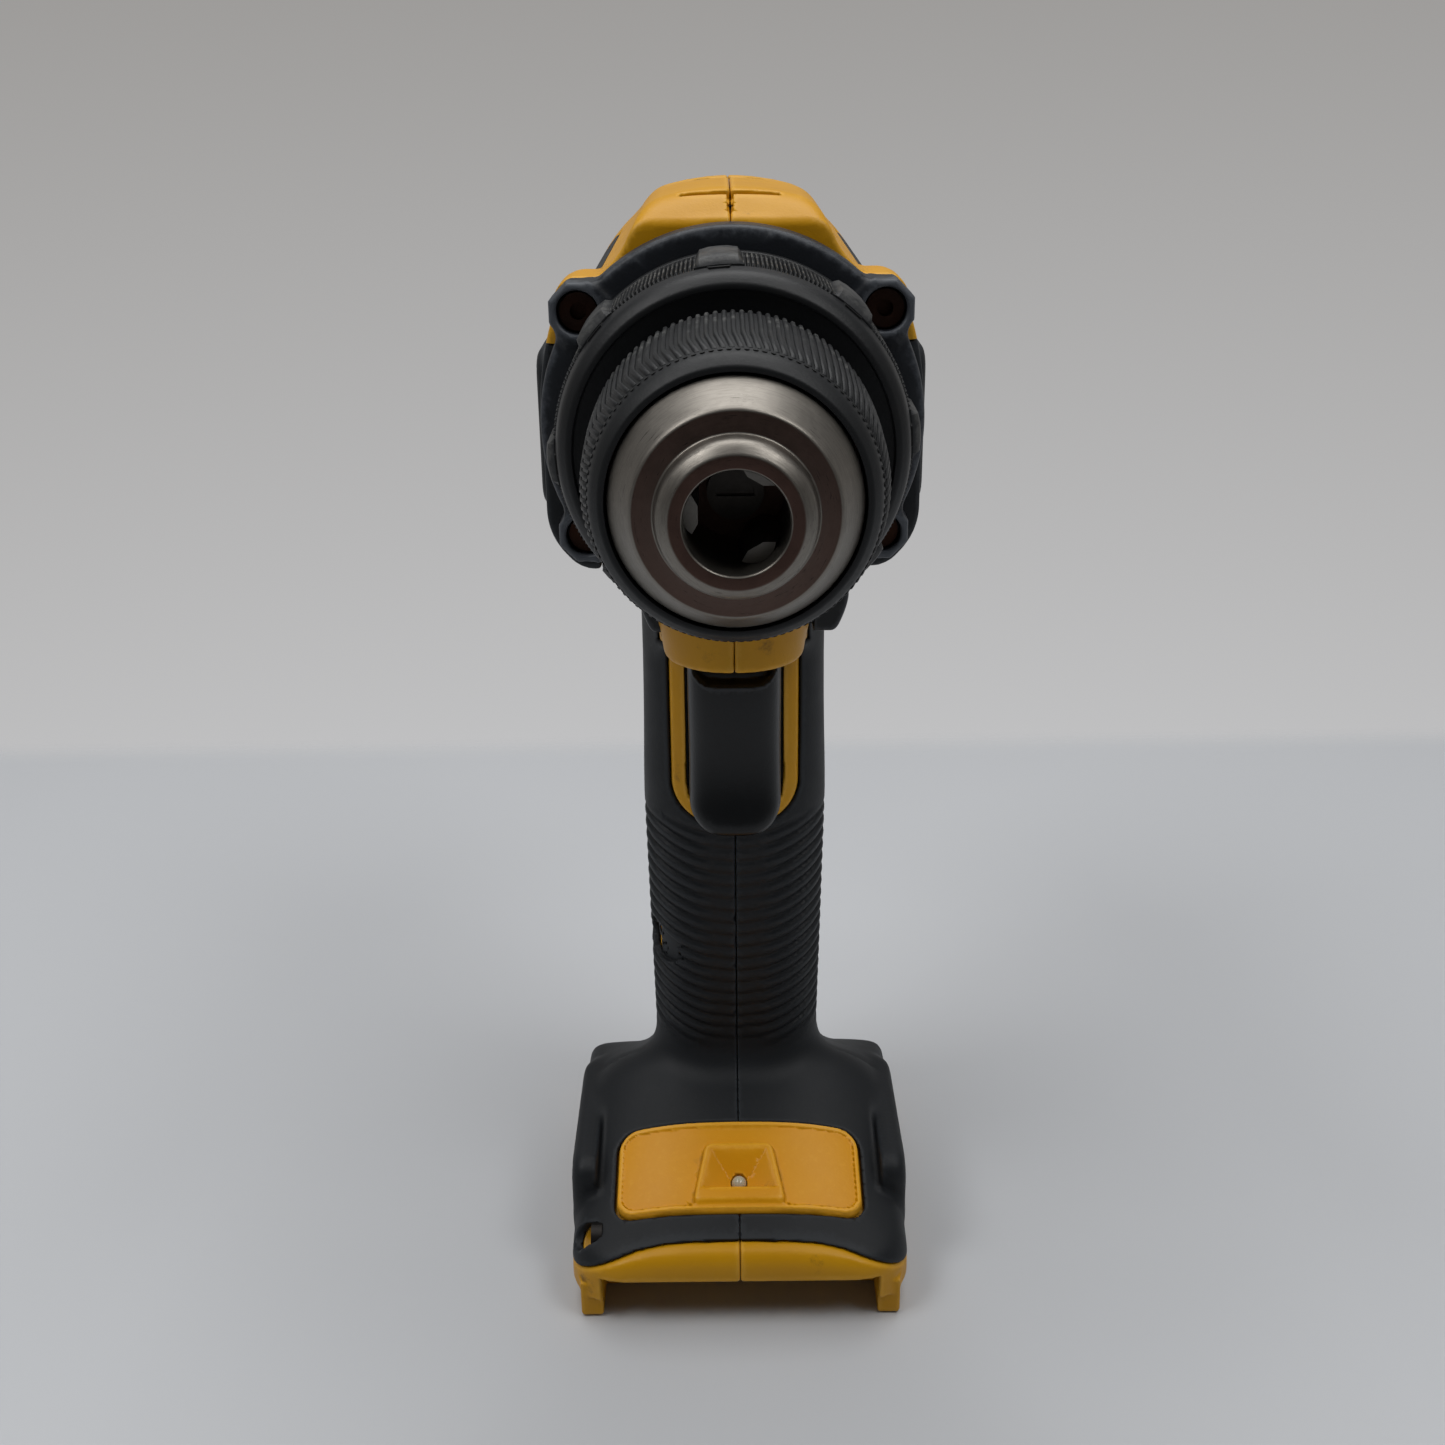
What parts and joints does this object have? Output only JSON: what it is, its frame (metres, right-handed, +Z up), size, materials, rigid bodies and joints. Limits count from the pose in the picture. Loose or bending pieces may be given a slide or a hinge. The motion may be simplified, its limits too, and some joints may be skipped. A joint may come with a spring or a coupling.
{
  "type": "cordless drill",
  "caption": "Pistol-grip cordless drill with keyless three-jaw chuck, clutch collar, planetary gearbox, trigger and slide-on battery foot, shown bare.",
  "frame": {"origin": "bottom centre of the bounding box, on the face the foot stands on", "axes": "+Z up, -Y out of the chuck, +X the tool's own left"},
  "size_m": [0.069, 0.19, 0.2156],
  "materials": {
    "housing": "moulded glass-filled nylon, worn yellow",
    "overmould": "soft black thermoplastic rubber",
    "label": "yellow plate",
    "gearcase": "dark grey glass-filled nylon",
    "collar": "black nylon, worn",
    "sleeve": "black nylon sleeve, worn grey",
    "chuck_steel": "turned and hardened steel",
    "jaw_steel": "hardened steel jaws",
    "zinc_screw": "zinc plated screws",
    "shaft_steel": "ground steel",
    "spring_steel": "spring steel",
    "gear_steel": "sintered steel",
    "gear_nylon": "white nylon",
    "clutch_plastic": "grey acetal",
    "motor_steel": "zinc plated steel can",
    "magnet": "ferrite",
    "laminations": "lacquered steel laminations",
    "copper": "enamelled copper",
    "black_nylon": "black nylon",
    "bronze": "sintered bronze",
    "carbon": "carbon",
    "trigger": "black satin nylon",
    "lamp": "clear lamp on its board"
  },
  "bodies": {
    "root": {"housing_left": "housing", "housing_right": "housing", "overmould_left": "overmould", "overmould_right": "overmould", "label_plate": "label", "work_light": "lamp", "housing_screws": "zinc_screw", "gearcase": "gearcase", "gearcase_screws": "zinc_screw", "clutch_spring": "spring_steel", "clutch_washer": "shaft_steel", "clutch_pins": "shaft_steel", "detent_spring": "spring_steel", "collar_retainer": "spring_steel", "front_bearing": "shaft_steel", "ring_gear_1": "gear_steel", "ring_gear_3": "gear_steel", "motor_mount_plate": "motor_steel", "motor_can": "motor_steel", "motor_magnets": "magnet", "rear_bearing": "bronze", "brush_holder": "black_nylon", "carbon_brushes": "carbon", "brush_springs": "spring_steel", "trigger_spring": "spring_steel", "switch_module": "black_nylon", "terminal_block": "black_nylon", "contact_blades": "copper"},
    "chuck": {"output_spindle": "shaft_steel", "chuck_body": "chuck_steel", "chuck_screw": "zinc_screw"},
    "sleeve": {"chuck_sleeve": "sleeve", "chuck_nut": "chuck_steel"},
    "jaw_1": {"chuck_jaw_1": "jaw_steel"},
    "jaw_2": {"chuck_jaw_2": "jaw_steel"},
    "jaw_3": {"chuck_jaw_3": "jaw_steel"},
    "collar": {"clutch_collar": "collar"},
    "nut": {"clutch_nut": "clutch_plastic"},
    "trigger": {"trigger": "trigger"},
    "direction": {"direction_button": "trigger"},
    "speed": {"speed_button": "trigger", "shift_wire": "spring_steel", "ring_gear_2": "gear_steel"},
    "rotor": {"motor_shaft": "shaft_steel", "armature_core": "laminations", "armature_windings": "copper", "commutator": "copper", "motor_fan": "black_nylon", "pinion": "gear_steel"},
    "carrier_1": {"planet_carrier_1": "gear_steel"},
    "carrier_2": {"planet_carrier_2": "gear_steel"},
    "planet_1a": {"planet_gear_1a": "gear_nylon"},
    "planet_1b": {"planet_gear_1b": "gear_nylon"},
    "planet_1c": {"planet_gear_1c": "gear_nylon"},
    "planet_2a": {"planet_gear_2a": "gear_steel"},
    "planet_2b": {"planet_gear_2b": "gear_steel"},
    "planet_2c": {"planet_gear_2c": "gear_steel"},
    "planet_3a": {"planet_gear_3a": "gear_steel"},
    "planet_3b": {"planet_gear_3b": "gear_steel"},
    "planet_3c": {"planet_gear_3c": "gear_steel"}
  },
  "joints": [
    {"name": "rotor_spin", "type": "hinge", "parent": "root", "child": "rotor", "pos_m": [0, 0, 0.18], "axis": [0, 1, 0], "continuous": true},
    {"name": "carrier_1_spin", "type": "hinge", "parent": "root", "child": "carrier_1", "pos_m": [0, 0, 0.18], "axis": [0, 1, 0], "continuous": true},
    {"name": "carrier_2_spin", "type": "hinge", "parent": "root", "child": "carrier_2", "pos_m": [0, 0, 0.18], "axis": [0, 1, 0], "continuous": true},
    {"name": "spindle_spin", "type": "hinge", "parent": "root", "child": "chuck", "pos_m": [0, 0, 0.18], "axis": [0, 1, 0], "continuous": true},
    {"name": "planet_1a_spin", "type": "hinge", "parent": "carrier_1", "child": "planet_1a", "pos_m": [0, 0, 0.19155], "axis": [0, 1, 0], "continuous": true},
    {"name": "planet_1b_spin", "type": "hinge", "parent": "carrier_1", "child": "planet_1b", "pos_m": [-0.01, 0, 0.17422], "axis": [0, 1, 0], "continuous": true},
    {"name": "planet_1c_spin", "type": "hinge", "parent": "carrier_1", "child": "planet_1c", "pos_m": [0.01, 0, 0.17422], "axis": [0, 1, 0], "continuous": true},
    {"name": "planet_2a_spin", "type": "hinge", "parent": "carrier_2", "child": "planet_2a", "pos_m": [0, 0, 0.1935], "axis": [0, 1, 0], "continuous": true},
    {"name": "planet_2b_spin", "type": "hinge", "parent": "carrier_2", "child": "planet_2b", "pos_m": [-0.01169, 0, 0.17325], "axis": [0, 1, 0], "continuous": true},
    {"name": "planet_2c_spin", "type": "hinge", "parent": "carrier_2", "child": "planet_2c", "pos_m": [0.01169, 0, 0.17325], "axis": [0, 1, 0], "continuous": true},
    {"name": "planet_3a_spin", "type": "hinge", "parent": "chuck", "child": "planet_3a", "pos_m": [0, 0, 0.1935], "axis": [0, 1, 0], "continuous": true},
    {"name": "planet_3b_spin", "type": "hinge", "parent": "chuck", "child": "planet_3b", "pos_m": [-0.01169, 0, 0.17325], "axis": [0, 1, 0], "continuous": true},
    {"name": "planet_3c_spin", "type": "hinge", "parent": "chuck", "child": "planet_3c", "pos_m": [0.01169, 0, 0.17325], "axis": [0, 1, 0], "continuous": true},
    {"name": "chuck_sleeve_turn", "type": "hinge", "parent": "chuck", "child": "sleeve", "pos_m": [0, 0, 0.18], "axis": [0, 1, 0], "range_deg": [-698.4, 1980]},
    {"name": "jaw_1_slide", "type": "slide", "parent": "chuck", "child": "jaw_1", "axis": [-0.1545, -0.9511, -0.2676], "range_m": [-0.00486, 0.01376]},
    {"name": "jaw_2_slide", "type": "slide", "parent": "chuck", "child": "jaw_2", "axis": [0.309, -0.9511, 0], "range_m": [-0.00486, 0.01376]},
    {"name": "jaw_3_slide", "type": "slide", "parent": "chuck", "child": "jaw_3", "axis": [-0.1545, -0.9511, 0.2676], "range_m": [-0.00486, 0.01376]},
    {"name": "collar_turn", "type": "hinge", "parent": "root", "child": "collar", "pos_m": [0, 0, 0.18], "axis": [0, 1, 0], "range_deg": [0, 300]},
    {"name": "nut_slide", "type": "slide", "parent": "collar", "child": "nut", "axis": [0, 1, 0], "range_m": [0, 0.00501], "deforming": ["clutch_spring"]},
    {"name": "trigger_pull", "type": "slide", "parent": "root", "child": "trigger", "axis": [0, 1, 0], "range_m": [0, 0.007], "stiffness_N_per_m": 400, "springref_m": -0.004, "deforming": ["trigger_spring"]},
    {"name": "direction_slide", "type": "slide", "parent": "root", "child": "direction", "axis": [1, 0, 0], "range_m": [-0.0037, 0]},
    {"name": "speed_slide", "type": "slide", "parent": "root", "child": "speed", "axis": [0, 1, 0], "range_m": [0, 0.0044]}
  ],
  "couplings": [
    {"joint": "carrier_1_spin", "follows": "rotor_spin", "ratio": 0.22727},
    {"joint": "carrier_2_spin", "follows": "rotor_spin", "ratio": 0.075758},
    {"joint": "spindle_spin", "follows": "rotor_spin", "ratio": 0.025253},
    {"joint": "planet_1a_spin", "follows": "rotor_spin", "ratio": -0.64394},
    {"joint": "planet_1b_spin", "follows": "rotor_spin", "ratio": -0.64394},
    {"joint": "planet_1c_spin", "follows": "rotor_spin", "ratio": -0.64394},
    {"joint": "planet_2a_spin", "follows": "rotor_spin", "ratio": -0.30303},
    {"joint": "planet_2b_spin", "follows": "rotor_spin", "ratio": -0.30303},
    {"joint": "planet_2c_spin", "follows": "rotor_spin", "ratio": -0.30303},
    {"joint": "planet_3a_spin", "follows": "rotor_spin", "ratio": -0.10101},
    {"joint": "planet_3b_spin", "follows": "rotor_spin", "ratio": -0.10101},
    {"joint": "planet_3c_spin", "follows": "rotor_spin", "ratio": -0.10101},
    {"joint": "jaw_1_slide", "follows": "chuck_sleeve_turn", "m_per_rad": 0.00039789},
    {"joint": "jaw_2_slide", "follows": "chuck_sleeve_turn", "m_per_rad": 0.00039789},
    {"joint": "jaw_3_slide", "follows": "chuck_sleeve_turn", "m_per_rad": 0.00039789},
    {"joint": "nut_slide", "follows": "collar_turn", "m_per_rad": 0.00095493}
  ]
}
